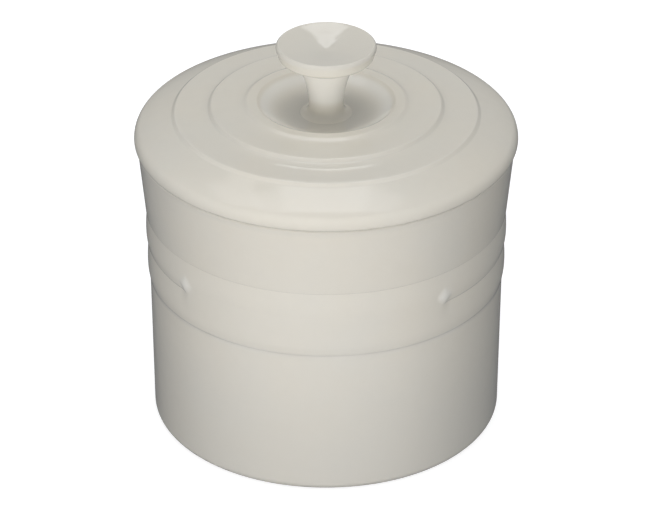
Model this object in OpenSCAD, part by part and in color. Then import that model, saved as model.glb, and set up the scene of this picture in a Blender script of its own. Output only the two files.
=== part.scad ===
// Lidded stoneware condiment jar, built of four pieces:
// a pot with two raised bands, a stepped lid, a dished knob and a sealing ring.
// Millimetres, +Z up, origin at the centre of the resting plane.
// The front, with the bare panel between the two lozenges, faces -Y. The lid is shown closed.

/* [Pot outside] */
// outer radius of the pot just above the base rounding
base_r = 55.3; // [50:0.1:58]
// outer radius of the pot at the rim
rim_r = 59; // [56:0.1:64]
// radius of the rounding between the wall and the resting face
base_round = 2.3; // [1:0.1:4]
// width of the resting face
foot_w = 5.5; // [3:0.1:8]
// height of the hollow inside the foot ring
foot_hollow_h = 1.6; // [1:0.1:2.4]
// rounding of the inner edge of the foot ring
foot_edge_round = 0.6; // [0.3:0.1:0.7]
// height of the lower edge of the lower band
band_low_z = 49.4; // [44:0.1:56]
// height of the lower band
lower_band_h = 11.5; // [9:0.1:16]
// height of the upper band
upper_band_h = 11; // [8:0.1:14]
// height from the upper band to the rim
neck_h = 23.4; // [18:0.1:30]
// how far a band stands out of the wall
band_proud = 0.6; // [0.2:0.05:1]
// how far the lower edge of the neck stands out over the upper band
neck_ledge = 0.35; // [0.1:0.05:0.5]
// rounding of the outer edge of the rim
rim_round = 1.1; // [0.3:0.1:1.2]

/* [Panel] */
// turn of the panel's middle from the front, towards -X
panel_turn = 5; // [0:0.1:10]
// angle from the panel's middle to a lozenge
panel_half_angle = 45; // [25:0.5:60]
// diagonal of a lozenge, up and down
lozenge_h = 6.8; // [3:0.1:8]
// height of the middle of a lozenge above the line between the bands
lozenge_lift = 2.8; // [0:0.1:4]
// how far a lozenge stands out of the bands
lozenge_proud = 0.4; // [0.2:0.05:0.8]

/* [Pot inside] */
// thickness of the rim, from the mouth to the outside
rim_t = 5.9; // [5:0.1:7]
// rounding of the inner edge of the mouth
mouth_round = 0.8; // [0.3:0.1:1.2]
// height of the straight part of the mouth
mouth_h = 13; // [11:0.5:18]
// wall thickness just above the base
wall_t = 5.2; // [4:0.1:7]
// thickness of the floor above the hollow of the foot
floor_t = 5.4; // [4:0.1:8]
// radius of the curve between the floor and the wall
floor_round = 9; // [4:0.5:14]

/* [Lid outside] */
// how far the lid reaches past the rim
lid_overhang = 1; // [0.4:0.1:2]
// rounding of the lower edge of the lid
lid_low_round = 1.3; // [0.8:0.1:1.4]
// rounding of the shoulder of the lid
lid_shoulder_round = 3.8; // [2.5:0.1:4.5]
// height of the side of the lid, above the rim, up to the start of the shoulder
lid_side_h = 1.4; // [1.4:0.1:3]
// slope where the shoulder meets the dome
shoulder_slope = 30; // [24:1:36]
// slope of the dome at the outer step
dome_slope = 22; // [14:1:26]
// outer radius of the lip of the bowl
lip_outer_r = 24.4; // [23:0.1:27]
// width of the lip of the bowl
lip_w = 2.4; // [1:0.1:3]
// height of the lip of the bowl, above the rim
lip_h = 13.5; // [12:0.1:15]
// width of a step, measured along the radius
step_w = 1.4; // [0.8:0.1:2]
// drop of the middle and the outer step
step_drop = 1.05; // [0.6:0.05:1.2]
// slope of a ring where it leaves the foot of a step
ring_slope = 24; // [16:1:30]
// rounding where the lip turns into the bowl
lip_round = 1; // [0.5:0.1:1.6]
// slope of the side of the bowl just below its lip
bowl_slope = 38; // [32:1:48]
// depth of the bowl below its lip
bowl_depth = 4.2; // [3:0.1:5]
// width of the level floor of the bowl, round the foot of the knob
bowl_floor_w = 1.4; // [0.6:0.1:3]

/* [Lid inside] */
// thickness of the lid under the foot of the knob
seat_t = 4.7; // [3.5:0.1:6]
// thickness of the lid at the middle step
lid_t = 5.1; // [4.5:0.1:7]
// free space between the flange and the mouth
flange_gap = 1.3; // [1:0.1:2]
// thickness of the locating flange
flange_t = 5; // [4:0.1:6]
// length of the locating flange below the rim
flange_h = 9; // [8:0.1:10.5]
// rounding at the end of the flange
flange_round = 0.8; // [0.4:0.1:1.2]
// rounding between the flange and the ceiling
ceiling_round = 2.5; // [1:0.1:3.5]

/* [Seal] */
// depth of the groove in the flange
groove_depth = 2.2; // [1.6:0.1:2.6]
// height of the groove
groove_h = 3.4; // [2.8:0.1:4]
// distance from the rim down to the upper face of the groove
groove_drop = 2.6; // [2:0.1:3.2]
// free space around the seal inside its groove
seal_gap = 0.2; // [0.1:0.05:0.3]
// free space between the seal and the mouth
mouth_gap = 0.3; // [0.2:0.05:0.5]
// rounding of the outer edge of the seal
seal_round = 1.1; // [0.6:0.1:1.2]
// rounding of the inner edges of the seal
seal_edge_round = 0.3; // [0.1:0.05:0.5]

/* [Knob] */
// depth of the seat in the lid for the foot of the knob
seat_depth = 1; // [0.6:0.1:1.4]
// free space around the foot of the knob in its seat
seat_gap = 0.1; // [0.05:0.05:0.2]
// radius of the stem at its waist
stem_r = 5.5; // [4.8:0.1:6.4]
// radius of the curve at the foot of the stem
stem_foot_round = 2.8; // [2:0.1:4.4]
// radius of the long curve of the stem above the waist
stem_sweep_r = 30.6; // [24:0.1:34]
// angle that the long curve turns through
stem_sweep_angle = 24.4; // [20:0.1:26]
// radius of the curve between the stem and the underside of the cap
stem_top_round = 2.6; // [1.5:0.1:4]
// slope of the underside of the cap
cap_under_slope = 28; // [18:1:32]
// largest radius of the cap
cap_r = 15.65; // [14:0.05:18]
// how far the side of the cap leans out, from its underside to its largest radius
cap_lean_w = 1.6; // [1.2:0.1:3]
// height of the side of the cap, from the end of its underside to the edge of the dish
cap_side_h = 4.65; // [4.4:0.05:7]
// rounding of the lower edge of the cap
cap_low_round = 2; // [0.6:0.1:2.4]
// rounding of the upper edge of the cap
cap_round = 1.4; // [0.8:0.05:1.8]
// angle, above level, at which the edge of the dish cuts off that rounding
dish_edge_angle = 55; // [40:1:75]
// rounding of the edge of the dish
dish_edge_round = 0.25; // [0.1:0.05:0.4]
// slope of the dish in the top of the cap
dish_slope = 8; // [4:0.5:12]
// radius of the soft point in the middle of the dish
dish_point_r = 0.9; // [0.5:0.1:3]

/* [Shape shares] */
// share of the flare from base to rim that the wall has reached at the lower edge of the bands
low_flare_share = 0.16; // [0.1:0.01:0.3]
// share of the flare that the wall has reached at the upper edge of the bands
top_flare_share = 0.33; // [0.31:0.01:0.6]
// share of the height of a band at which it stands out most
crest_share = 0.3; // [0.2:0.01:0.8]
// share of the height of a band that its lower edge takes
sill_share = 0.08; // [0.04:0.01:0.12]
// share of the full stand-out reached at the lower edge
sill_rise_share = 0.65; // [0.2:0.05:0.9]
// share of the full stand-out that the bare panel has between the two bands
panel_rise_share = 0.92; // [0.8:0.01:0.98]
// place of the outer step, as a share of the way from the bowl to the edge of the lid
outer_step_share = 0.661; // [0.6:0.001:0.72]
// place of the middle step, as a share of the same way
middle_step_share = 0.328; // [0.25:0.001:0.4]
// height of the foot of the outer step, as a share of the height of the lip
outer_step_h_share = 0.667; // [0.62:0.001:0.72]
// height of the foot of the middle step, as a share of the height of the lip
middle_step_h_share = 0.841; // [0.81:0.001:0.87]
// slope of the outer ring at the edge of the outer step, as a share of its mean slope
ring_edge_share = 0.8; // [0.2:0.05:0.9]
// drop at the lip of the bowl, as a share of the drop of the other steps
lip_drop_share = 0.57; // [0.4:0.01:0.7]

/* [Colour] */
// glazed stoneware
glaze_colour = [0.82, 0.80, 0.75];
// sealing ring
seal_colour = [0.86, 0.86, 0.84];

/* [Hidden] */
$fn = 120;
// points along a short curve and along a long one
short_n = 6;
long_n = 16;
// how far one solid runs into the one that carries it
overrun = 1;

// points on a circle, from one angle to another
function arc(c_r, c_z, r, a_from, a_to, n) =
    [for (i = [0 : n])
        let (a = a_from + (a_to - a_from) * i / n)
        [c_r + r * cos(a), c_z + r * sin(a)]];

function reversed(p) = [for (i = [len(p) - 1 : -1 : 0]) p[i]];

// a soft rise from nothing to one
function soft_share(s) = (1 - cos(180 * s)) / 2;

// pot, heights from the resting plane up
band_mid_z = band_low_z + lower_band_h;
band_top_z = band_mid_z + upper_band_h;
rim_z = band_top_z + neck_h;
floor_z = foot_hollow_h + floor_t;

// pot, radii
band_low_r = base_r + (rim_r - base_r) * low_flare_share;
band_top_r = base_r + (rim_r - base_r) * top_flare_share;
mouth_r = rim_r - rim_t;
inner_low_r = base_r - wall_t;
foot_inner_r = base_r - base_round - foot_w - foot_edge_round;

// wall radius at a height between the two edges of the bands
function wall_at(z) =
    band_low_r + (band_top_r - band_low_r) * (z - band_low_z) / (band_top_z - band_low_z);

// how far a band stands out along its height, as a share
function rise_share(s) =
    s < sill_share
        ? sill_rise_share * sin(90 * s / sill_share)
        : sill_rise_share
            + (1 - sill_rise_share) * sin(90 * (s - sill_share) / (crest_share - sill_share));
function fall_share(s) = cos(90 * (s - crest_share) / (1 - crest_share));

function band_share(s) = s < crest_share ? rise_share(s) : fall_share(s);
function band(z_from, z_to) =
    [for (i = [0 : long_n])
        let (s = i / long_n, z = z_from + (z_to - z_from) * s)
        [wall_at(z) + band_proud * band_share(s), z]];

function pot_outline() = concat(
    [[0, foot_hollow_h]],
    arc(
        foot_inner_r - foot_edge_round, foot_hollow_h - foot_edge_round,
        foot_edge_round, 90, 0, short_n
    ),
    arc(foot_inner_r + foot_edge_round, foot_edge_round, foot_edge_round, 180, 270, short_n),
    arc(base_r - base_round, base_round, base_round, 270, 360, short_n),
    band(band_low_z, band_mid_z),
    [for (i = [1 : long_n]) band(band_mid_z, band_top_z)[i]],
    [[band_top_r + neck_ledge, band_top_z + neck_ledge]],
    arc(rim_r - rim_round, rim_z - rim_round, rim_round, 0, 90, short_n),
    arc(mouth_r + mouth_round, rim_z - mouth_round, mouth_round, 90, 180, short_n),
    [[mouth_r, rim_z - mouth_h]],
    arc(inner_low_r - floor_round, floor_z + floor_round, floor_round, 0, -90, long_n),
    [[0, floor_z]]
);

// the bare panel fills the line between the bands, from the crest of one to the crest of the other
panel_low_z = band_low_z + lower_band_h * crest_share;
panel_top_z = band_mid_z + upper_band_h * crest_share;
function panel_outline() = [
    [wall_at(panel_low_z) - overrun, panel_low_z],
    [wall_at(panel_low_z) + band_proud * panel_rise_share, panel_low_z],
    [wall_at(panel_top_z) + band_proud * panel_rise_share, panel_top_z],
    [wall_at(panel_top_z) - overrun, panel_top_z]
];

// a lozenge stands on the bands, across the line between them
lozenge_side = lozenge_h / sqrt(2);
lozenge_z = band_mid_z + lozenge_lift;
module lozenge() {
    translate([wall_at(lozenge_z), 0, lozenge_z])
        rotate([45, 0, 0])
            translate([0, -lozenge_side / 2, -lozenge_side / 2])
                cube([band_proud + lozenge_proud, lozenge_side, lozenge_side]);
}

// the front is -Y, and angles run from the middle of the panel
module on_panel(angle) {
    rotate([0, 0, angle - 90 - panel_turn]) children();
}

module jar() {
    color(glaze_colour) {
        rotate_extrude() polygon(pot_outline());
        on_panel(-panel_half_angle)
            rotate_extrude(angle = panel_half_angle + panel_half_angle)
                polygon(panel_outline());
        on_panel(panel_half_angle) lozenge();
        on_panel(-panel_half_angle) lozenge();
    }
}

// lid, radii from the middle out
knob_foot_r = stem_r + stem_foot_round;
seat_r = knob_foot_r + seat_gap;
bowl_floor_r = seat_r + bowl_floor_w;
lip_inner_r = lip_outer_r - lip_w;
lip_foot_r = lip_outer_r + step_w;
lid_r = rim_r + lid_overhang;
middle_step_r = lip_foot_r + (lid_r - lip_foot_r) * middle_step_share;
outer_step_r = lip_foot_r + (lid_r - lip_foot_r) * outer_step_share;
flange_r = mouth_r - flange_gap;
flange_inner_r = flange_r - flange_t;
groove_r = flange_r - groove_depth;

// lid, heights
lip_z = rim_z + lip_h;
bowl_floor_z = lip_z - bowl_depth;
seat_z = bowl_floor_z - seat_depth;
middle_step_z = rim_z + lip_h * middle_step_h_share;
outer_step_z = rim_z + lip_h * outer_step_h_share;
lip_foot_z = lip_z - step_drop * lip_drop_share;
ceiling_mid_z = seat_z - seat_t;
ceiling_ring_z = middle_step_z - lid_t;
flange_low_z = rim_z - flange_h;
groove_top_z = rim_z - groove_drop;
groove_low_z = groove_top_z - groove_h;

// where the shoulder of the lid meets the dome
shoulder_c_r = lid_r - lid_shoulder_round;
shoulder_z = rim_z + lid_side_h;
dome_low_r = shoulder_c_r + lid_shoulder_round * sin(shoulder_slope);
dome_low_z = shoulder_z + lid_shoulder_round * cos(shoulder_slope);

// the dome is a curve with a given slope at each end
dome_reach = dome_low_r - outer_step_r;
dome_rise = outer_step_z - dome_low_z;
dome_low_bulge = dome_reach * tan(shoulder_slope) - dome_rise;
dome_high_bulge = dome_rise - dome_reach * tan(dome_slope);
function dome() =
    [for (i = [1 : long_n - 1])
        let (s = i / long_n)
        [
            dome_low_r - dome_reach * s,
            dome_low_z + dome_rise * s
                + dome_low_bulge * s * (1 - s) * (1 - s)
                + dome_high_bulge * s * s * (1 - s)
        ]];

// a step, from its foot to its edge, with a given slope at each end
step_n = short_n + short_n;
function step(foot_r, foot_z, drop, low_slope, high_slope) =
    [for (i = [0 : step_n])
        let (s = i / step_n)
        [
            foot_r - step_w * s,
            foot_z + drop * s * s * (3 - 2 * s)
                + step_w * tan(low_slope) * s * (1 - s) * (1 - s)
                - step_w * tan(high_slope) * s * s * (1 - s)
        ]];

outer_ring_reach = outer_step_r - step_w - middle_step_r;
outer_ring_rise = middle_step_z - step_drop - outer_step_z;
ring_edge_slope = atan(ring_edge_share * outer_ring_rise / outer_ring_reach);

// a ring is hollow: nearly level at the edge of the step outside it, steeper at the foot inside it
function ring(edge_r, edge_z, foot_r, foot_z, edge_slope) =
    let (
        reach = edge_r - foot_r,
        edge_fall = tan(edge_slope),
        more_fall = (foot_z - edge_z) / reach - edge_fall,
        power = (tan(ring_slope) - edge_fall) / more_fall
    )
    [for (i = [1 : long_n - 1])
        let (s = 1 - (1 - i / long_n) * (1 - i / long_n))
        [edge_r - reach * s, edge_z + reach * (edge_fall * s + more_fall * pow(s, power))]];

// the bowl: a hollow side that starts with a given slope and ends level with the floor
bowl_start_r = lip_inner_r - lip_round * sin(bowl_slope);
bowl_start_z = lip_z - lip_round * (1 - cos(bowl_slope));
bowl_reach = bowl_start_r - bowl_floor_r;
bowl_fall = bowl_start_z - bowl_floor_z;
bowl_power = bowl_reach * tan(bowl_slope) / bowl_fall;
function bowl() =
    [for (i = [1 : long_n])
        let (s = i / long_n)
        [bowl_start_r - bowl_reach * s, bowl_floor_z + bowl_fall * pow(1 - s, bowl_power)]];

// the ceiling inside drops under the bowl
function ceiling() =
    [for (i = [0 : long_n])
        let (s = i / long_n)
        [
            lip_foot_r - (lip_foot_r - bowl_floor_r) * s,
            ceiling_ring_z - (ceiling_ring_z - ceiling_mid_z) * soft_share(s)
        ]];

// from the edge of the lid over the top to the seat of the knob
function lid_top() = concat(
    arc(lid_r - lid_low_round, rim_z + lid_low_round, lid_low_round, -90, 0, short_n),
    arc(shoulder_c_r, shoulder_z, lid_shoulder_round, 0, 90 - shoulder_slope, long_n),
    dome(),
    step(outer_step_r, outer_step_z, step_drop, dome_slope, ring_edge_slope),
    ring(
        outer_step_r - step_w, outer_step_z + step_drop,
        middle_step_r, middle_step_z, ring_edge_slope
    ),
    step(middle_step_r, middle_step_z, step_drop, ring_slope, 0),
    ring(middle_step_r - step_w, middle_step_z + step_drop, lip_foot_r, lip_foot_z, 0),
    step(lip_foot_r, lip_foot_z, lip_z - lip_foot_z, ring_slope, 0),
    arc(lip_inner_r, lip_z - lip_round, lip_round, 90, 90 + bowl_slope, short_n),
    bowl(),
    [[seat_r, bowl_floor_z], [seat_r, seat_z], [0, seat_z]]
);

// from the middle of the ceiling out, down the flange, round the groove and up to the rim
function lid_under() = concat(
    [[0, ceiling_mid_z]],
    reversed(ceiling()),
    arc(
        flange_inner_r - ceiling_round, ceiling_ring_z - ceiling_round,
        ceiling_round, 90, 0, short_n
    ),
    arc(
        flange_inner_r + flange_round, flange_low_z + flange_round,
        flange_round, 180, 270, short_n
    ),
    arc(flange_r - flange_round, flange_low_z + flange_round, flange_round, 270, 360, short_n),
    [
        [flange_r, groove_low_z],
        [groove_r, groove_low_z],
        [groove_r, groove_top_z],
        [flange_r, groove_top_z],
        [flange_r, rim_z]
    ]
);

module lid() {
    color(glaze_colour) rotate_extrude() polygon(concat(lid_top(), lid_under()));
}

// knob: the long curve of the stem, the curve under the cap and the underside meet smoothly
waist_z = bowl_floor_z + stem_foot_round;
sweep_end_r = stem_r + stem_sweep_r * (1 - cos(stem_sweep_angle));
sweep_end_z = waist_z + stem_sweep_r * sin(stem_sweep_angle);
under_turn_c_r = sweep_end_r + stem_top_round * cos(stem_sweep_angle);
under_turn_c_z = sweep_end_z - stem_top_round * sin(stem_sweep_angle);
under_end_r = under_turn_c_r - stem_top_round * sin(cap_under_slope);
under_end_z = under_turn_c_z + stem_top_round * cos(cap_under_slope);

// the side of the cap is the line that touches its lower and its upper rounding
cap_low_r = cap_r - cap_lean_w;
cap_low_z = under_end_z + (cap_low_r - under_end_r) * tan(cap_under_slope);
cap_top_z = cap_low_z + cap_side_h;
dish_edge_c_z = cap_top_z - dish_edge_round;
cap_low_c_r = cap_low_r - cap_low_round * sin(cap_under_slope);
cap_low_c_z = cap_low_z + cap_low_round * cos(cap_under_slope);
cap_top_c_r = cap_r - cap_round;
cap_top_c_z = dish_edge_c_z - (cap_round - dish_edge_round) * sin(dish_edge_angle);
cap_across = cap_top_c_r - cap_low_c_r;
cap_up = cap_top_c_z - cap_low_c_z;
cap_lean = acos((cap_low_round - cap_round) / sqrt(cap_across * cap_across + cap_up * cap_up))
    - atan2(cap_up, cap_across);

// the dish falls in a straight line from its edge to a soft point
dish_edge_c_r = cap_top_c_r + (cap_round - dish_edge_round) * cos(dish_edge_angle);
dish_r = dish_edge_c_r - dish_edge_round * sin(dish_slope);
dish_z = dish_edge_c_z + dish_edge_round * cos(dish_slope);
dish_full = sqrt(dish_r * dish_r + dish_point_r * dish_point_r);
function dish() =
    [for (i = [1 : long_n])
        let (
            r = dish_r * (1 - i / long_n),
            soft = sqrt(r * r + dish_point_r * dish_point_r)
        )
        [r, dish_z - tan(dish_slope) * (dish_full - soft)]];

function knob_outline() = concat(
    [[0, seat_z], [knob_foot_r, seat_z]],
    arc(knob_foot_r, waist_z, stem_foot_round, 270, 180, long_n),
    [for (i = [1 : long_n])
        let (a = stem_sweep_angle * i / long_n)
        [stem_r + stem_sweep_r * (1 - cos(a)), waist_z + stem_sweep_r * sin(a)]],
    arc(
        under_turn_c_r, under_turn_c_z, stem_top_round,
        180 - stem_sweep_angle, 90 + cap_under_slope, short_n
    ),
    arc(cap_low_c_r, cap_low_c_z, cap_low_round, cap_under_slope - 90, -cap_lean, short_n),
    arc(cap_top_c_r, cap_top_c_z, cap_round, -cap_lean, dish_edge_angle, long_n),
    arc(
        dish_edge_c_r, dish_edge_c_z, dish_edge_round,
        dish_edge_angle, 90 + dish_slope, short_n
    ),
    dish()
);

module knob() {
    color(glaze_colour) rotate_extrude() polygon(knob_outline());
}

// seal: it rests on the lower face of its groove
seal_low_z = groove_low_z;
seal_top_z = groove_top_z - seal_gap;
seal_inner_r = groove_r + seal_gap;
seal_outer_r = mouth_r - mouth_gap;

function seal_outline() = concat(
    arc(
        seal_inner_r + seal_edge_round, seal_low_z + seal_edge_round,
        seal_edge_round, 180, 270, short_n
    ),
    arc(seal_outer_r - seal_round, seal_low_z + seal_round, seal_round, 270, 360, short_n),
    arc(seal_outer_r - seal_round, seal_top_z - seal_round, seal_round, 0, 90, short_n),
    arc(
        seal_inner_r + seal_edge_round, seal_top_z - seal_edge_round,
        seal_edge_round, 90, 180, short_n
    )
);

module seal() {
    color(seal_colour) rotate_extrude() polygon(seal_outline());
}

jar();
lid();
knob();
seal();
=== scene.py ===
import math

import bpy
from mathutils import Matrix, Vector


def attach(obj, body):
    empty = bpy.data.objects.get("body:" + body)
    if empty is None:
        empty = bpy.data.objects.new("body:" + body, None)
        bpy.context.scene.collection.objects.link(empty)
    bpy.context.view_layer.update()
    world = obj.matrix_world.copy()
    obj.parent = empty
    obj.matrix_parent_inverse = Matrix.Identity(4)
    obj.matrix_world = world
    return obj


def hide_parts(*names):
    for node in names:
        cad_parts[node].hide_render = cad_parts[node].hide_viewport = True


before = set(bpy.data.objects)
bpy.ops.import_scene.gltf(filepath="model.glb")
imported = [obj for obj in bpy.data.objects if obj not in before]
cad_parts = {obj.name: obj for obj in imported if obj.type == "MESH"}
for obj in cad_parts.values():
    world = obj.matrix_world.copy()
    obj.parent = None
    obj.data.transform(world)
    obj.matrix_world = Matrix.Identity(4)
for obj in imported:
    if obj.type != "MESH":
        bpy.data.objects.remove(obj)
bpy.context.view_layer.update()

MM = 0.001
TAU = 2 * math.pi
TINY = 1e-6


# ---------- profile tools: points are (radius, height) in millimetres ----------
def tilt(degrees):
    return math.sin(math.radians(degrees)), math.cos(math.radians(degrees))


def slope(degrees):
    return math.tan(math.radians(degrees))


def soft(s):
    """A smooth rise from 0 to 1 while s goes from 0 to 1, level outside."""
    s = min(1.0, max(0.0, s))
    return s * s * (3 - 2 * s)


def above(value, start, width):
    """0 up to start, 1 from start + width on."""
    return soft((value - start) / width)


def below(value, start, width):
    """1 up to start - width, 0 from start on."""
    return soft((start - value) / width)


def wave(s):
    return (1 - math.cos(math.pi * s)) / 2


def arc(c_r, c_z, r, a_from, a_to, n):
    """n steps along an arc about (c_r, c_z), from one angle in degrees to another."""
    out = []
    for i in range(n + 1):
        a = math.radians(a_from + (a_to - a_from) * i / n)
        out.append((c_r + r * math.cos(a), c_z + r * math.sin(a)))
    return out


def refine(points, step):
    """No stretch of the closed profile is longer than step, so shading tones stay where they belong."""
    out = []
    for i, a in enumerate(points):
        b = points[(i + 1) % len(points)]
        reach = math.dist(a, b)
        if reach < TINY:
            continue
        out.append(a)
        if a[0] < TINY and b[0] < TINY:
            continue
        n = max(1, math.ceil(reach / step))
        for k in range(1, n):
            t = k / n
            out.append((a[0] + (b[0] - a[0]) * t, a[1] + (b[1] - a[1]) * t))
    return out


def ease_corners(points, radius, sharp_deg):
    """Every corner of the closed profile that turns by sharp_deg or more gets a small rounding."""
    pieces, most = 4, 0.45
    out = []
    for i, p in enumerate(points):
        a, b = points[i - 1], points[(i + 1) % len(points)]
        da, db = math.dist(p, a), math.dist(p, b)
        if p[0] < TINY or da < TINY or db < TINY:
            out.append(p)
            continue
        ua = ((a[0] - p[0]) / da, (a[1] - p[1]) / da)
        ub = ((b[0] - p[0]) / db, (b[1] - p[1]) / db)
        turn = 180 - math.degrees(math.acos(max(-1, min(1, ua[0] * ub[0] + ua[1] * ub[1]))))
        if turn < sharp_deg:
            out.append(p)
            continue
        t = min(radius * slope(turn / 2), da * most, db * most)
        start = (p[0] + ua[0] * t, p[1] + ua[1] * t)
        end = (p[0] + ub[0] * t, p[1] + ub[1] * t)
        for k in range(pieces + 1):
            s = k / pieces
            out.append(tuple(
                (1 - s) ** 2 * start[j] + 2 * s * (1 - s) * p[j] + s * s * end[j] for j in (0, 1)
            ))
    return out


def bend_of(points):
    """Bend of the closed profile at each point, per millimetre: above 0 on an edge, below 0 in a corner."""
    n = len(points)
    raw = []
    for i, p in enumerate(points):
        a, b = points[i - 1], points[(i + 1) % n]
        da, db = max(TINY, math.dist(p, a)), max(TINY, math.dist(p, b))
        cross = (p[0] - a[0]) * (b[1] - p[1]) - (p[1] - a[1]) * (b[0] - p[0])
        dot = (p[0] - a[0]) * (b[0] - p[0]) + (p[1] - a[1]) * (b[1] - p[1])
        raw.append(math.atan2(cross, dot) / ((da + db) / 2))
    for _ in range(2):
        raw = [(raw[i - 1] + 2 * raw[i] + raw[(i + 1) % n]) / 4 for i in range(n)]
    return raw


# ---------- turned pieces ----------
EDGE_BEND, EDGE_MORE, CORNER_BEND, CORNER_MORE = 0.3, 1, -0.4, 0.8


def edge_tone(r, z, a, bend):
    return above(bend, EDGE_BEND, EDGE_MORE)


def corner_tone(r, z, a, bend):
    return below(bend, CORNER_BEND, CORNER_MORE)


def no_tone(r, z, a, bend):
    return 0.0


# What the materials read at each point, as shares from 0 up: thin glaze with a painted highlight on an edge,
# pooled glaze with painted shade in a corner, bare clay, a greyer colour that is painted shade, and a whiter
# colour that is painted light. A piece can replace any of them.
TONES = {"thin": edge_tone, "pool": corner_tone, "bare": no_tone, "low": no_tone, "relief": no_tone}


def turns(n):
    return [TAU * k / n for k in range(n)]


def apart(a, b):
    """The turn from angle b to angle a, half a turn at most either way."""
    return (a - b + math.pi) % TAU - math.pi


def put(name, data):
    item = bpy.data.objects.new(name, data)
    bpy.context.scene.collection.objects.link(item)
    return item


def lathe(name, points, angles, shift=None, **own_tones):
    """The closed profile, turned. shift(r, z, angle) moves a point outwards."""
    tones = {**TONES, **own_tones}
    values = {label: [] for label in tones}
    verts, rows, faces = [], [], []
    for (r, z), bend in zip(points, bend_of(points)):
        row = []
        for a in angles[:1] if r < TINY else angles:
            out = r + shift(r, z, a) if shift and r > TINY else r
            row.append(len(verts))
            verts.append((out * math.cos(a) * MM, out * math.sin(a) * MM, z * MM))
            for label, tone in tones.items():
                values[label].append(tone(r, z, a, bend))
        rows.append(row)
    n = len(angles)
    for row, nxt in zip(rows, rows[1:] + rows[:1]):
        if len(row) == 1 and len(nxt) == 1:
            continue
        for k in range(n):
            m = (k + 1) % n
            if len(row) == 1:
                faces.append((row[0], nxt[m], nxt[k]))
            elif len(nxt) == 1:
                faces.append((row[k], row[m], nxt[0]))
            else:
                faces.append((row[k], row[m], nxt[m], nxt[k]))
    mesh = bpy.data.meshes.new(name)
    mesh.from_pydata(verts, [], faces)
    for label, shares in values.items():
        mesh.attributes.new(label, "FLOAT", "POINT").data.foreach_set("value", shares)
    mesh.shade_smooth()
    mesh.update()
    return put(name, mesh)


# ---------- pot ----------
BASE_R, BASE_ROUND = 55.3, 2.3
RIM_R, RIM_Z, RIM_ROUND = 59.0, 95.3, 1.1
MOUTH_R, MOUTH_ROUND, MOUTH_DEEP = 53.1, 0.8, 13
INNER_LOW_R, FLOOR_Z, FLOOR_ROUND = BASE_R - 5.2, 7.0, 9

# the resting ring: width of its flat, rounding of its inner corners, recess inside it
REST_W, REST_ROUND, RECESS = 5.5, 0.6, 1.6
REST_IN = BASE_R - BASE_ROUND - REST_W - REST_ROUND

# the three lines of the bands, and the outside radius of the wall under the lowest and the highest
BAND_LOW, BAND_MID, BAND_TOP = 49.4, 60.9, 71.9
WALL_LOW = BASE_R + (RIM_R - BASE_R) * 0.16
WALL_TOP = BASE_R + (RIM_R - BASE_R) * 0.33

# a band is PROUD of the wall at CREST of its height, and steps out by SILL_RISE of that within SILL of it
PROUD, CREST, SILL, SILL_RISE = 0.6, 0.3, 0.08, 0.65
# the neck stands over the upper band by a rounded ledge
LEDGE, LEDGE_FROM_DEG = 0.35, -80


def wall_at(z):
    return WALL_LOW + (WALL_TOP - WALL_LOW) * (z - BAND_LOW) / (BAND_TOP - BAND_LOW)


def band_share(s):
    """How far a band stands out at the share s of its height."""
    if s < SILL:
        return SILL_RISE * math.sin(math.pi / 2 * s / SILL)
    if s < CREST:
        return SILL_RISE + (1 - SILL_RISE) * math.sin(math.pi / 2 * (s - SILL) / (CREST - SILL))
    return math.cos(math.pi / 2 * (s - CREST) / (1 - CREST))


def band(z_from, z_to, n):
    out = []
    for i in range(n + 1):
        s = wave(i / n)
        z = z_from + (z_to - z_from) * s
        out.append((wall_at(z) + PROUD * band_share(s), z))
    return out


pot_points = refine(
    [(0, RECESS)]
    + arc(REST_IN - REST_ROUND, RECESS - REST_ROUND, REST_ROUND, 90, 0, 6)
    + arc(REST_IN + REST_ROUND, REST_ROUND, REST_ROUND, 180, 270, 6)
    + arc(BASE_R - BASE_ROUND, BASE_ROUND, BASE_ROUND, 270, 360, 12)
    + band(BAND_LOW, BAND_MID, 44)
    + band(BAND_MID, BAND_TOP, 40)[1:]
    + arc(WALL_TOP, BAND_TOP + LEDGE, LEDGE, LEDGE_FROM_DEG, 0, 5)
    + arc(RIM_R - RIM_ROUND, RIM_Z - RIM_ROUND, RIM_ROUND, 0, 90, 10)
    + arc(MOUTH_R + MOUTH_ROUND, RIM_Z - MOUTH_ROUND, MOUTH_ROUND, 90, 180, 8)
    + [(MOUTH_R, RIM_Z - MOUTH_DEEP)]
    + arc(INNER_LOW_R - FLOOR_ROUND, FLOOR_Z + FLOOR_ROUND, FLOOR_ROUND, 0, -90, 16)
    + [(0, FLOOR_Z)],
    1.6,
)

# the bare panel: a quarter of a turn wide, 5 degrees to the left of the front, between the two crests
PANEL_MID, PANEL_HALF = math.radians(-90 - 5), math.radians(45)
PANEL_LOW = BAND_LOW + (BAND_MID - BAND_LOW) * CREST
PANEL_TOP = BAND_MID + (BAND_TOP - BAND_MID) * CREST
# how proud it is, and in radians how far it goes on past its ends and over how much it fades there
PANEL_PROUD, PANEL_MORE, PANEL_FADE = PROUD * 0.94, 0.012, 0.08
# the lozenges: half width, height of the middle, 1 for straight sides and 2 for a circle
LOZENGE_HALF, LOZENGE_Z, LOZENGE_POWER = 3.4, BAND_MID + 2.8, 1.4
LOZENGE_TOP_R, LOZENGE_FLANK = wall_at(LOZENGE_Z) + PROUD + 0.38, 0.9
OUTSIDE_R = 54.5  # at the height of the bands, every point beyond this radius is on the outside


def lozenge_reach(r, z, a):
    """0 in the middle of a lozenge and 1 on its outline."""
    across, up = abs(abs(apart(a, PANEL_MID)) - PANEL_HALF) * r, abs(z - LOZENGE_Z)
    return (across ** LOZENGE_POWER + up ** LOZENGE_POWER) ** (1 / LOZENGE_POWER) / LOZENGE_HALF


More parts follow.
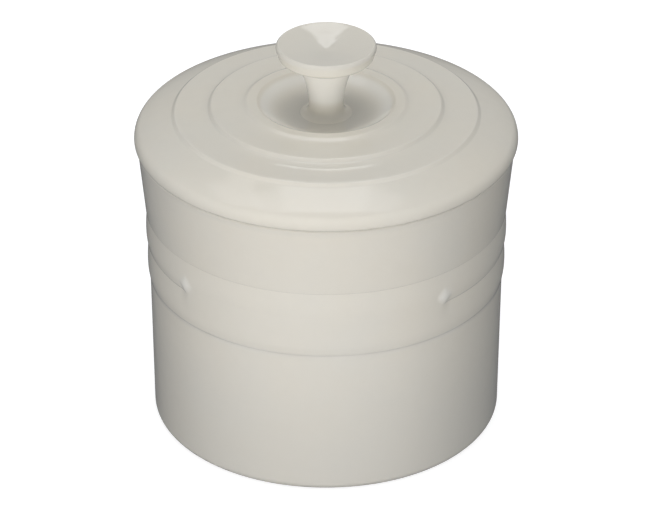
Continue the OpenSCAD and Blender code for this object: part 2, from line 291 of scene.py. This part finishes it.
def pot_shift(r, z, a):
    """The bare panel fills the line between the bands; a lozenge stands at each of its ends."""
    if not (BAND_LOW < z < BAND_TOP) or r < OUTSIDE_R:
        return 0.0
    out = 0.0
    if PANEL_LOW < z < PANEL_TOP:
        inside = soft((PANEL_HALF + PANEL_MORE - abs(apart(a, PANEL_MID))) / PANEL_FADE + 0.5)
        out = max(0.0, PANEL_PROUD - (r - wall_at(z))) * inside
    reach = lozenge_reach(r, z, a)
    if reach < 1:
        out += max(0.0, LOZENGE_TOP_R - (r + out)) * soft((1 - reach) / LOZENGE_FLANK)
    return out


# columns of points all round, closer together across the two lozenges
FINE_DEG, FINE_STEPS, LEAST_GAP = 0.22, 17, 0.006
fine = [
    (PANEL_MID + side * PANEL_HALF + math.radians(d * FINE_DEG)) % TAU
    for side in (-1, 1)
    for d in range(-FINE_STEPS, FINE_STEPS + 1)
]
coarse = [a for a in turns(256) if min(abs(apart(a, f)) for f in fine) > LEAST_GAP]

# bare clay: up to this height on the resting ring, and over this width
BARE_TOP, BARE_FADE = 0.5, 0.3
# painted shade, greyer: towards the foot, faded out at GREY_TOP, and a little as the lid's shadow under its
# rim
GREY_FOOT, GREY_TOP, GREY_RIM, GREY_RIM_FROM, GREY_RIM_FADE = 0.75, 66, 0.35, 92.6, 2
# painted highlight with thin glaze over the relief, whiter: on a lozenge and faded out a little beyond its
# outline
LOZENGE_WHITE, WHITE_REACH = 0.7, 1.2
# thin glaze with painted light that lifts the shade of the sills: on the lower line and the middle line, from
# and to what height over the line, and to what height there is no more of it
LOW_LINE, MID_LINE, LINE_FROM, LINE_TO, NO_THIN_AND_LIGHT_TOP = 2.0, 0.6, -0.1, 0.9, BAND_TOP + 1
# pooled glaze with painted shade: in the line under the neck and its half height, in other corners and from
# what height, and how far past the ends of the panel there is none of it
NECK_LINE, NECK_LINE_HALF, CORNERS, CORNERS_FROM, PANEL_CLEAR = 2.0, 0.6, 0.6, BAND_LOW + 2, 0.03


def pot_bare(r, z, a, bend):
    """The resting ring is not glazed."""
    return below(z, BARE_TOP, BARE_FADE)


def pot_painted_shade(r, z, a, bend):
    return GREY_FOOT * below(z, GREY_TOP, GREY_TOP) + GREY_RIM * above(z, GREY_RIM_FROM, GREY_RIM_FADE)


def pot_relief_and_highlight(r, z, a, bend):
    return LOZENGE_WHITE * below(lozenge_reach(r, z, a), WHITE_REACH, 1) if r > OUTSIDE_R else 0.0


def pot_thin(r, z, a, bend):
    """Thin glaze with painted light on the sills, none on the soft crests of the bands, a painted highlight
    on other edges.
    """
    if LINE_FROM < z - BAND_LOW < LINE_TO:
        return LOW_LINE
    if LINE_FROM < z - BAND_MID < LINE_TO and abs(apart(a, PANEL_MID)) > PANEL_HALF:
        return MID_LINE
    return 0.0 if BAND_LOW < z < NO_THIN_AND_LIGHT_TOP else edge_tone(r, z, a, bend)


def pot_pool(r, z, a, bend):
    """Pooled glaze with painted shade in the line under the neck, less elsewhere, none on the panel and low
    on the pot.
    """
    on_panel = PANEL_LOW < z < PANEL_TOP and abs(apart(a, PANEL_MID)) < PANEL_HALF + PANEL_CLEAR
    if on_panel or z < CORNERS_FROM:
        return 0.0
    return (NECK_LINE if abs(z - BAND_TOP) < NECK_LINE_HALF else CORNERS) * corner_tone(r, z, a, bend)


pot = lathe(
    "pot_glazed", pot_points, sorted(fine + coarse), pot_shift,
    bare=pot_bare, low=pot_painted_shade, relief=pot_relief_and_highlight, thin=pot_thin, pool=pot_pool,
)

# ---------- lid ----------
LID_R, LID_EDGE_ROUND = 60.0, 1.3
LIP_Z, LIP_IN, LIP_FOOT, LIP_ROUND = 108.8, 22.0, 25.8, 1.0
# the two outer steps, as shares of the way out from the lip and of the way up to it
MIDDLE_R, MIDDLE_Z = LIP_FOOT + (LID_R - LIP_FOOT) * 0.328, RIM_Z + (LIP_Z - RIM_Z) * 0.841
OUTER_R, OUTER_Z = LIP_FOOT + (LID_R - LIP_FOOT) * 0.661, RIM_Z + (LIP_Z - RIM_Z) * 0.667
STEP_W, DROP = 1.4, 1.05
LIP_FOOT_Z = LIP_Z - DROP * 0.57
# slopes in degrees: a ring at its inner side, the outer ring at its edge, the dome low down and high up
RING_DEG, EDGE_DEG, DOME_LOW_DEG, DOME_HIGH_DEG = 24, 5.0, 30, 22
# the knob's foot and the bowl that it stands in
STEM_R, STEM_ROUND = 5.5, 2.8
KNOB_FOOT_R = STEM_R + STEM_ROUND
BOWL_R, BOWL_Z, BOWL_DEG, SEAT_R, SEAT_Z = KNOB_FOOT_R + 1.5, 104.6, 38, KNOB_FOOT_R - 0.6, 103.6
# the underside, never seen in the photo
CEIL_MID_Z, CEIL_RING_Z, CEIL_ROUND = 98.9, MIDDLE_Z - 5.1, 2.5
FLANGE_R, FLANGE_IN, FLANGE_LOW, FLANGE_ROUND = 51.8, 46.8, 86.3, 0.8
GROOVE_R, GROOVE_TOP, GROOVE_LOW = 49.6, 92.7, 89.3

SHOULDER_ROUND = 3.8
shoulder_r, shoulder_z = LID_R - SHOULDER_ROUND, RIM_Z + 1.4
dome_r = shoulder_r + SHOULDER_ROUND * tilt(DOME_LOW_DEG)[0]
dome_z = shoulder_z + SHOULDER_ROUND * tilt(DOME_LOW_DEG)[1]
dome_reach, dome_rise = dome_r - OUTER_R, OUTER_Z - dome_z
low_bulge = dome_reach * slope(DOME_LOW_DEG) - dome_rise
high_bulge = dome_rise - dome_reach * slope(DOME_HIGH_DEG)


def dome(n):
    """From the shoulder up to the outer step, with its slope set at both ends."""
    out = []
    for i in range(1, n):
        s = i / n
        z = dome_z + dome_rise * s + low_bulge * s * (1 - s) ** 2 + high_bulge * s * s * (1 - s)
        out.append((dome_r - dome_reach * s, z))
    return out


def step(foot_r, foot_z, drop, low_deg, high_deg, n=16):
    """A soft step up towards the axis, with its slope set at both ends."""
    low_rise, high_rise = STEP_W * slope(low_deg), STEP_W * slope(high_deg)
    out = []
    for i in range(n + 1):
        s = i / n
        rise = drop * soft(s) + low_rise * s * (1 - s) ** 2 - high_rise * s * s * (1 - s)
        out.append((foot_r - STEP_W * s, foot_z + rise))
    return out


def ring(edge_r, edge_z, foot_r, foot_z, edge_deg, n=24):
    """From a step's edge in to the next step's foot, ever steeper up to RING_DEG."""
    reach = edge_r - foot_r
    edge_fall = slope(edge_deg)
    more_fall = (foot_z - edge_z) / reach - edge_fall
    power = (slope(RING_DEG) - edge_fall) / more_fall
    out = []
    for i in range(1, n):
        s = 1 - (1 - i / n) ** 2
        out.append((edge_r - reach * s, edge_z + reach * (edge_fall * s + more_fall * s ** power)))
    return out


bowl_top_r = LIP_IN - LIP_ROUND * tilt(BOWL_DEG)[0]
bowl_top_z = LIP_Z - LIP_ROUND * (1 - tilt(BOWL_DEG)[1])
bowl_reach, bowl_drop = bowl_top_r - BOWL_R, bowl_top_z - BOWL_Z
bowl_power = bowl_reach * slope(BOWL_DEG) / bowl_drop


def bowl(n):
    """From the lip down to the level floor round the knob."""
    out = []
    for i in range(1, n + 1):
        s = i / n
        out.append((bowl_top_r - bowl_reach * s, BOWL_Z + bowl_drop * (1 - s) ** bowl_power))
    return out


def ceiling(n):
    """Under the bowl, from the middle out to the ring."""
    out = []
    for i in range(n, -1, -1):
        s = i / n
        out.append((LIP_FOOT - (LIP_FOOT - BOWL_R) * s, CEIL_RING_Z - (CEIL_RING_Z - CEIL_MID_Z) * wave(s)))
    return out


lid_top = (
    arc(LID_R - LID_EDGE_ROUND, RIM_Z + LID_EDGE_ROUND, LID_EDGE_ROUND, -90, 0, 8)
    + arc(shoulder_r, shoulder_z, SHOULDER_ROUND, 0, 90 - DOME_LOW_DEG, 20)
    + dome(32)
    + step(OUTER_R, OUTER_Z, DROP, DOME_HIGH_DEG, EDGE_DEG)
    + ring(OUTER_R - STEP_W, OUTER_Z + DROP, MIDDLE_R, MIDDLE_Z, EDGE_DEG)
    + step(MIDDLE_R, MIDDLE_Z, DROP, RING_DEG, 0)
    + ring(MIDDLE_R - STEP_W, MIDDLE_Z + DROP, LIP_FOOT, LIP_FOOT_Z, 0)
    + step(LIP_FOOT, LIP_FOOT_Z, LIP_Z - LIP_FOOT_Z, RING_DEG, 0)
    + arc(LIP_IN, LIP_Z - LIP_ROUND, LIP_ROUND, 90, 90 + BOWL_DEG, 6)
    + bowl(22)
)
lid_under = (
    [(SEAT_R, BOWL_Z), (SEAT_R, SEAT_Z), (0, SEAT_Z), (0, CEIL_MID_Z)]
    + ceiling(20)
    + arc(FLANGE_IN - CEIL_ROUND, CEIL_RING_Z - CEIL_ROUND, CEIL_ROUND, 90, 0, 10)
    + arc(FLANGE_IN + FLANGE_ROUND, FLANGE_LOW + FLANGE_ROUND, FLANGE_ROUND, 180, 270, 6)
    + arc(FLANGE_R - FLANGE_ROUND, FLANGE_LOW + FLANGE_ROUND, FLANGE_ROUND, 270, 360, 6)
    + [(FLANGE_R, GROOVE_LOW), (GROOVE_R, GROOVE_LOW), (GROOVE_R, GROOVE_TOP), (FLANGE_R, GROOVE_TOP)]
    + [(FLANGE_R, RIM_Z)]
)


# painted light, whiter, on the wall of the bowl: from where it fades in upwards, and from where outwards it
# ends
WALL_WHITE_Z, WALL_WHITE_UP, WALL_WHITE_R, WALL_WHITE_IN = BOWL_Z + 0.1, 2.4, LIP_IN - 0.7, 1.4
# painted shade of the knob's cap, greyer, on the floor of the bowl: how grey, out to where, faded over what
# width, and down to where
BOWL_GREY, BOWL_GREY_R, BOWL_GREY_FADE, BOWL_GREY_Z = 0.8, 17.5, 6, BOWL_Z - 0.1
THIN_AND_HIGHLIGHT_TOP = LIP_Z - 1.2


def lid_bare(r, z, a, bend):
    """The foot of the flange is not glazed."""
    return below(z, FLANGE_LOW + BARE_TOP, BARE_FADE)


def lid_painted_light(r, z, a, bend):
    return above(z, WALL_WHITE_Z, WALL_WHITE_UP) * below(r, WALL_WHITE_R, WALL_WHITE_IN)


def lid_painted_shade(r, z, a, bend):
    return BOWL_GREY * below(r, BOWL_GREY_R, BOWL_GREY_FADE) if z > BOWL_GREY_Z else 0.0


def lid_thin(r, z, a, bend):
    """No thin glaze and no painted highlight on the lip."""
    return edge_tone(r, z, a, bend) if z < THIN_AND_HIGHLIGHT_TOP else 0.0


lid = lathe(
    "lid_glazed", refine(ease_corners(lid_top + lid_under, 0.35, 60), 1.2), turns(256),
    bare=lid_bare, low=lid_painted_shade, relief=lid_painted_light, thin=lid_thin,
)

# ---------- knob ----------
# the stem widens in one sweep, then turns out under the cap
SWEEP_R, SWEEP_DEG, TURN_R, UNDER_DEG = 30.6, 24.4, 2.6, 28
# the cap leans out by CAP_LEAN_W, has a bevel between two roundings, and a dish with a blunt point
CAP_R, CAP_LEAN_W, CAP_H, CAP_LOW_ROUND, CAP_ROUND = 15.65, 1.6, 4.65, 2.0, 1.4
BEVEL_DEG, RIDGE_ROUND, DISH_DEG, POINT_R = 55, 0.3, 9, 0.9
# the plug in the lid's seat, with the space under it and under the foot
PLUG_R, PLUG_GAP, FOOT_GAP = KNOB_FOOT_R - 0.7, 0.05, 0.003
# the foot thins out to a tip: where its last three points are, as a radius and as angles on its rounding
TIP_R, TIP_DEG, FOOT_DEG = KNOB_FOOT_R - 0.1, 267.6, 267.2

waist_z = BOWL_Z + STEM_ROUND
turn_r = STEM_R + SWEEP_R * (1 - tilt(SWEEP_DEG)[1]) + TURN_R * tilt(SWEEP_DEG)[1]
turn_z = waist_z + (SWEEP_R - TURN_R) * tilt(SWEEP_DEG)[0]
under_r, under_z = turn_r - TURN_R * tilt(UNDER_DEG)[0], turn_z + TURN_R * tilt(UNDER_DEG)[1]
cap_low_r = CAP_R - CAP_LEAN_W
cap_low_z = under_z + (cap_low_r - under_r) * slope(UNDER_DEG)
cap_z = cap_low_z + CAP_H
low_r = cap_low_r - CAP_LOW_ROUND * tilt(UNDER_DEG)[0]
low_z = cap_low_z + CAP_LOW_ROUND * tilt(UNDER_DEG)[1]
top_r = CAP_R - CAP_ROUND
top_z = cap_z - RIDGE_ROUND - (CAP_ROUND - RIDGE_ROUND) * tilt(BEVEL_DEG)[0]
ridge_r, ridge_z = top_r + (CAP_ROUND - RIDGE_ROUND) * tilt(BEVEL_DEG)[1], cap_z - RIDGE_ROUND
dish_r, dish_z = ridge_r - RIDGE_ROUND * tilt(DISH_DEG)[0], ridge_z + RIDGE_ROUND * tilt(DISH_DEG)[1]
cap_lean = math.degrees(
    math.acos((CAP_LOW_ROUND - CAP_ROUND) / math.hypot(top_r - low_r, top_z - low_z))
    - math.atan2(top_z - low_z, top_r - low_r)
)


def sweep(n):
    out = []
    for i in range(1, n + 1):
        sine, cosine = tilt(SWEEP_DEG * i / n)
        out.append((STEM_R + SWEEP_R * (1 - cosine), waist_z + SWEEP_R * sine))
    return out


def dish(n):
    full = math.hypot(dish_r, POINT_R)
    out = []
    for i in range(1, n + 1):
        r = dish_r * (1 - i / n)
        out.append((r, dish_z - slope(DISH_DEG) * (full - math.hypot(r, POINT_R))))
    return out


knob_points = refine(
    [(0, SEAT_Z + PLUG_GAP), (PLUG_R, SEAT_Z + PLUG_GAP), (PLUG_R, BOWL_Z + FOOT_GAP)]
    + [(TIP_R, BOWL_Z + FOOT_GAP)]
    + arc(KNOB_FOOT_R, waist_z, STEM_ROUND, TIP_DEG, 180, 20)[:1]
    + arc(KNOB_FOOT_R, waist_z, STEM_ROUND, FOOT_DEG, 180, 20)
    + sweep(20)
    + arc(turn_r, turn_z, TURN_R, 180 - SWEEP_DEG, 90 + UNDER_DEG, 8)
    + arc(low_r, low_z, CAP_LOW_ROUND, UNDER_DEG - 90, -cap_lean, 10)
    + arc(top_r, top_z, CAP_ROUND, -cap_lean, BEVEL_DEG, 14)
    + arc(ridge_r, ridge_z, RIDGE_ROUND, BEVEL_DEG, 90 + DISH_DEG, 6)
    + dish(40),
    0.7,
)


# painted light on the stem, whiter: how white, from where it fades in and to where it fades out, inside what
# radius
STEM_WHITE, STEM_FROM, STEM_FADE_IN, STEM_TO, STEM_FADE_OUT = 0.8, waist_z + 1, 3, cap_low_z + 1, 2
STEM_WHITE_R = cap_low_r - 1


def knob_painted_light(r, z, a, bend):
    share = above(z, STEM_FROM, STEM_FADE_IN) * below(z, STEM_TO, STEM_FADE_OUT)
    return STEM_WHITE * share if r < STEM_WHITE_R else 0.0


knob = lathe("knob_glazed", knob_points, turns(192), relief=knob_painted_light)

# ---------- seal: a soft ring with fine ribs on its outer side ----------
SEAL_IN, SEAL_LOW, SEAL_TOP, SEAL_ROUND, SEAL_FACE_R = 49.8, 89.3, 92.5, 0.3, 51.2
# the ribbed side: its root, how far it stands out, the share of that between ribs, its inset and its waves
RIB_ROOT_R, RIB_OUT, RIB_VALLEY, RIB_INSET, RIB_WAVES, RIB_STEPS = 51.75, 1.05, 0.45, 0.12, 3, 40
# its bulge is the stretch of half a sine wave that starts at this share of it and covers this share
BULGE_FROM, BULGE_SPAN = 0.14, 0.72


def ribs():
    out = []
    for k in range(RIB_STEPS + 1):
        s = k / RIB_STEPS
        hill = 0.5 + 0.5 * math.cos(TAU * RIB_WAVES * s)
        bulge = math.sin(math.pi * (BULGE_FROM + BULGE_SPAN * s)) ** 0.5
        r = RIB_ROOT_R + RIB_OUT * (RIB_VALLEY + (1 - RIB_VALLEY) * hill) * bulge
        out.append((r, SEAL_LOW + RIB_INSET + (SEAL_TOP - SEAL_LOW - 2 * RIB_INSET) * s))
    return out


seal_points = refine(
    arc(SEAL_IN + SEAL_ROUND, SEAL_LOW + SEAL_ROUND, SEAL_ROUND, 180, 270, 5)
    + [(SEAL_FACE_R, SEAL_LOW)]
    + ribs()
    + [(SEAL_FACE_R, SEAL_TOP)]
    + arc(SEAL_IN + SEAL_ROUND, SEAL_TOP - SEAL_ROUND, SEAL_ROUND, 90, 180, 5),
    0.6,
)
seal = lathe("seal_ring", seal_points, turns(256))


# ---------- materials ----------
class Nodes:
    """A material and short ways to build its node tree."""

    def __init__(self, name):
        self.material = bpy.data.materials.new(name)
        self.material.use_nodes = True
        self.tree = self.material.node_tree
        self.tree.nodes.clear()
        self.place = None

    def add(self, kind, **values):
        node = self.tree.nodes.new(kind)
        for key, value in values.items():
            setattr(node, key, value)
        return node

    def link(self, a, b):
        self.tree.links.new(a, b)

    def fill(self, socket, value):
        """A socket gets a link, a number or a colour."""
        if hasattr(value, "is_linked"):
            self.link(value, socket)
        elif isinstance(value, tuple) and len(value) == 3 and len(socket.default_value) == 4:
            socket.default_value = (*value, 1)
        else:
            socket.default_value = value

    def sum(self, a, b, operation="ADD"):
        node = self.add("ShaderNodeMath", operation=operation)
        self.fill(node.inputs[0], a)
        self.fill(node.inputs[1], b)
        return node.outputs[0]

    def times(self, a, b):
        return self.sum(a, b, "MULTIPLY")

    def mix(self, share, a, b):
        node = self.add("ShaderNodeMix", data_type="RGBA")
        for socket, value in zip((node.inputs[0], node.inputs[6], node.inputs[7]), (share, a, b)):
            self.fill(socket, value)
        return node.outputs[2]

    def noise(self, scale, detail=2.0, roughness=0.5):
        if self.place is None:
            self.place = self.add("ShaderNodeTexCoord").outputs["Object"]
        node = self.add("ShaderNodeTexNoise")
        values = {"Scale": scale, "Detail": detail, "Roughness": roughness, "Vector": self.place}
        for label, value in values.items():
            self.fill(node.inputs[label], value)
        return node.outputs[0]

    def cloud(self, noise, low=0.0, high=1.0, spread=0.2):
        """Noise stretched so that what lies within spread of its middle runs from low to high."""
        node = self.add("ShaderNodeMapRange")
        for socket, value in zip(node.inputs, (noise, 0.5 - spread, 0.5 + spread, low, high)):
            self.fill(socket, value)
        return node.outputs[0]

    def tone(self, label):
        return self.add("ShaderNodeAttribute", attribute_name=label).outputs["Fac"]

    def bump(self, height, strength, distance):
        node = self.add("ShaderNodeBump")
        for label, value in (("Strength", strength), ("Distance", distance), ("Height", height)):
            self.fill(node.inputs[label], value)
        return node

    def surface(self, kind, **values):
        """The material's one shader; an underscore in a label stands for a space."""
        node = self.add(kind)
        for label, value in values.items():
            self.fill(node.inputs[label.replace("_", " ")], value)
        self.link(node.outputs[0], self.add("ShaderNodeOutputMaterial").inputs[0])
        return self.material


GLAZE = (0.755, 0.715, 0.615)
WARM_TINT, COOL_TINT, PALE_TINT = (1.012, 1, 0.985), (0.986, 0.993, 1.006), (1.05, 1.05, 1.05)
# the colours of the tones: thin glaze with painted highlight, whiter painted light, greyer painted shade,
# pooled glaze with painted shade
THIN_GLAZE_AND_HIGHLIGHT, RELIEF_AND_LIGHT_WHITE = (0.82, 0.785, 0.695), (0.88, 0.86, 0.79)
SHADE_GREY, POOLED_GLAZE_AND_SHADE = (0.58, 0.56, 0.50), (0.62, 0.61, 0.56)
DARK_CLAY, PALE_CLAY = (0.50, 0.42, 0.31), (0.66, 0.58, 0.45)
SILICONE, CLOUDY_SILICONE, SHADED_SILICONE = (0.80, 0.775, 0.71), (0.73, 0.71, 0.655), (0.60, 0.585, 0.545)


def tinted(tint, painted_brightness=1.0):
    return tuple(c * t * painted_brightness for c, t in zip(GLAZE, tint))


# painted_brightness above 1 gives a brighter copy of the glaze: painted light
def glaze(name, painted_brightness=1.0):
    """Satin off-white glaze over sandy clay. Noise scales are per metre, bump distances in metres."""
    n = Nodes(name)
    # soft mottling at two scales
    colour = n.mix(n.cloud(n.noise(28, 3, 0.55)), tinted(WARM_TINT, painted_brightness), tinted(COOL_TINT, painted_brightness))
    colour = n.mix(n.times(n.cloud(n.noise(240, 3, 0.6), spread=0.15), 0.16), colour, tinted(PALE_TINT))
    # each tone of the piece moves the colour towards its own by a share: thin glaze with a painted highlight,
    # whiter painted light, greyer painted shade, and pooled glaze with painted shade
    colour = n.mix(n.times(n.tone("thin"), n.cloud(n.noise(90), 0.2, 0.5)), colour, THIN_GLAZE_AND_HIGHLIGHT)
    colour = n.mix(n.times(n.tone("relief"), 0.75), colour, RELIEF_AND_LIGHT_WHITE)
    colour = n.mix(n.times(n.tone("low"), 0.6), colour, SHADE_GREY)
    colour = n.mix(n.times(n.tone("pool"), 0.3), colour, POOLED_GLAZE_AND_SHADE)
    bare = n.tone("bare")
    grain = n.cloud(n.noise(1400, 2, 0.7))
    # a slow ripple, and under it fine pits that are deep only in bare clay
    ripple = n.bump(n.noise(150, 2, 0.45), 0.10, 0.0006)
    pits = n.bump(n.times(grain, n.sum(bare, 0.05)), 0.35, 0.00012)
    n.link(ripple.outputs[0], pits.inputs["Normal"])
    return n.surface(
        "ShaderNodeBsdfPrincipled",
        Base_Color=n.mix(bare, colour, n.mix(grain, DARK_CLAY, PALE_CLAY)),
        Roughness=n.sum(n.cloud(n.noise(60, 3), 0.055, 0.09), n.times(bare, 0.5)),
        IOR=1.5,
        Specular_IOR_Level=0.5,
        Normal=pits.outputs[0],
    )


def silicone(name):
    """Cloudy white silicone with a matt surface."""
    n = Nodes(name)
    colour = n.mix(n.cloud(n.noise(120, 3, 0.6)), SILICONE, CLOUDY_SILICONE)
    return n.surface(
        "ShaderNodeBsdfPrincipled",
        # painted shade in the seal's corners
        Base_Color=n.mix(n.times(n.tone("pool"), 0.4), colour, SHADED_SILICONE),
        Roughness=n.cloud(n.noise(500), 0.42, 0.6),
        IOR=1.41,
        Subsurface_Weight=0.25,
        Subsurface_Radius=(1, 1, 0.95),
        Subsurface_Scale=0.0012,
        Normal=n.bump(n.noise(1600), 0.2, 0.0001).outputs[0],
    )


for piece, node, body, slot, material in (
    (pot, "jar", "jar", "pot_glaze", glaze("pot_glaze_satin")),
    (lid, "lid", "lid", "lid_glaze", glaze("lid_glaze_satin")),
    # the knob's glaze is a brighter copy: painted light
    (knob, "knob", "lid", "knob_glaze", glaze("knob_glaze_satin", 1.03)),
    (seal, "seal", "seal", "silicone", silicone("seal_silicone")),
):
    piece.data.materials.append(material)
    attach(piece, body)
    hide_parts(node)

# ---------- floor and wall, in metres: white behind the jar, and not seen in the glaze ----------
GROUND_Z, FLOOR_HALF, WALL_R, WALL_H, WALL_SIDES = -0.0002, 6, 5.6, 9, 64
WHITE = (1, 1, 1)


def backdrop(name, verts, faces, material):
    mesh = bpy.data.meshes.new(name)
    mesh.from_pydata(verts, [], faces)
    mesh.materials.append(material)
    item = put(name, mesh)
    item.visible_diffuse = False
    item.visible_glossy = False
    return item


floor = backdrop(
    "floor",
    [(x * FLOOR_HALF, y * FLOOR_HALF, GROUND_Z) for x, y in ((-1, -1), (1, -1), (1, 1), (-1, 1))],
    [(0, 1, 2, 3)],
    Nodes("floor_white").surface(
        "ShaderNodeBsdfPrincipled",
        Base_Color=(0.35, 0.35, 0.345), Roughness=0.9, Emission_Color=WHITE, Emission_Strength=0.82,
    ),
)

wall_ring = [(WALL_R * math.cos(a), WALL_R * math.sin(a)) for a in turns(WALL_SIDES)]
wall = backdrop(
    "wall",
    [(x, y, z) for z in (GROUND_Z, WALL_H) for x, y in wall_ring],
    [(k, (k + 1) % WALL_SIDES, WALL_SIDES + (k + 1) % WALL_SIDES, WALL_SIDES + k) for k in range(WALL_SIDES)],
    Nodes("wall_white").surface("ShaderNodeEmission", Color=WHITE, Strength=1.0),
)
wall.visible_shadow = False

# ---------- light ----------
DAY, NEUTRAL, WARM = (0.995, 1, 1.04), (1, 0.995, 1), (1, 0.985, 0.965)


def panel(name, place, aim, wide, tall, strength, colour, glossy):
    """A flat soft light. Its strength is the light that it gives to a face turned to it at the aim."""
    place, aim = Vector(place), Vector(aim)
    way = aim - place
    data = bpy.data.lights.new(name, "AREA")
    data.shape = "RECTANGLE"
    data.size, data.size_y = wide, tall
    data.color = colour
    data.energy = strength * 4 * math.pi * way.length_squared
    lamp = put(name, data)
    lamp.location = place
    lamp.rotation_euler = way.to_track_quat("-Z", "Y").to_euler()
    lamp.visible_glossy = glossy


def overhead(name, place, wide, deep, strength):
    """A lamp that is mirrored in the glaze. It faces down, a hair off the vertical to settle its turn."""
    panel(name, place, (place[0], place[1] - 0.0001, 0), wide, deep, strength, NEUTRAL, True)


# place, aim, width, height, strength, colour, and whether it is mirrored in the glaze
panel("front", (-0.06, -0.37, 0.066), (0, 0, 0.085), 0.80, 0.24, 0.605, DAY, False)
panel("near", (-0.01, -0.28, 0.10), (0, 0, 0.10), 0.40, 0.10, 0.13, DAY, False)
overhead("top_near", (0, 0.0875, 0.71), 0.24, 0.185, 0.021)
overhead("top_wide", (0, 0.0875, 0.7099), 0.42, 0.185, 0.041)
overhead("top_far", (0, 0.609, 0.71), 0.16, 0.062, 0.0115)
overhead("top_left", (-0.27, 0.17, 0.71), 0.16, 0.24, 0.020)
panel("back", (0.05, 0.60, 0.14), (0, 0, 0.07), 0.80, 0.30, 0.26, DAY, False)
panel("top_soft", (0, -0.01, 0.72), (0, 0, 0.1), 0.44, 0.44, 0.14, WARM, False)

# the sky gets brighter from SKY_LOW to SKY_HIGH, as heights of its direction
SKY_LOW, SKY_HIGH, SKY_DIM, SKY_BRIGHT, SKY_COLOUR = -0.2, 0.9, 0.15, 0.56, (0.97, 1, 1.06, 1)
world = bpy.data.worlds.new("studio")
bpy.context.scene.world = world
world.use_nodes = True
sky = world.node_tree
direction = sky.nodes.new("ShaderNodeTexCoord")
parts = sky.nodes.new("ShaderNodeSeparateXYZ")
height = sky.nodes.new("ShaderNodeMapRange")
for socket, number in zip(height.inputs[1:5], (SKY_LOW, SKY_HIGH, SKY_DIM, SKY_BRIGHT)):
    socket.default_value = number
background = sky.nodes["Background"]
background.inputs["Color"].default_value = SKY_COLOUR
sky.links.new(direction.outputs["Generated"], parts.inputs[0])
sky.links.new(parts.outputs["Z"], height.inputs[0])
sky.links.new(height.outputs[0], background.inputs["Strength"])

bpy.context.scene.view_settings.view_transform = "Standard"
bpy.context.scene.view_settings.look = "None"

# ---------- camera: the view fitted to the photo ----------
CAMERA_PITCH, CAMERA_AWAY, CAMERA_AIM_Z = math.radians(30.066), 1.3347, 0.05315
SENSOR_MM, FOCAL_PX, PHOTO_W_PX = 36, 4200, 650

camera_data = bpy.data.cameras.new("camera")
camera = put("camera", camera_data)
bpy.context.scene.camera = camera
camera.location = (
    0, -CAMERA_AWAY * math.cos(CAMERA_PITCH), CAMERA_AIM_Z + CAMERA_AWAY * math.sin(CAMERA_PITCH)
)
camera.rotation_euler = (math.pi / 2 - CAMERA_PITCH, 0, 0)
camera_data.sensor_width = SENSOR_MM
camera_data.lens = FOCAL_PX * SENSOR_MM / PHOTO_W_PX
camera_data.shift_x, camera_data.shift_y = -0.00177, 0.00118
camera_data.clip_start, camera_data.clip_end = 0.05, 20
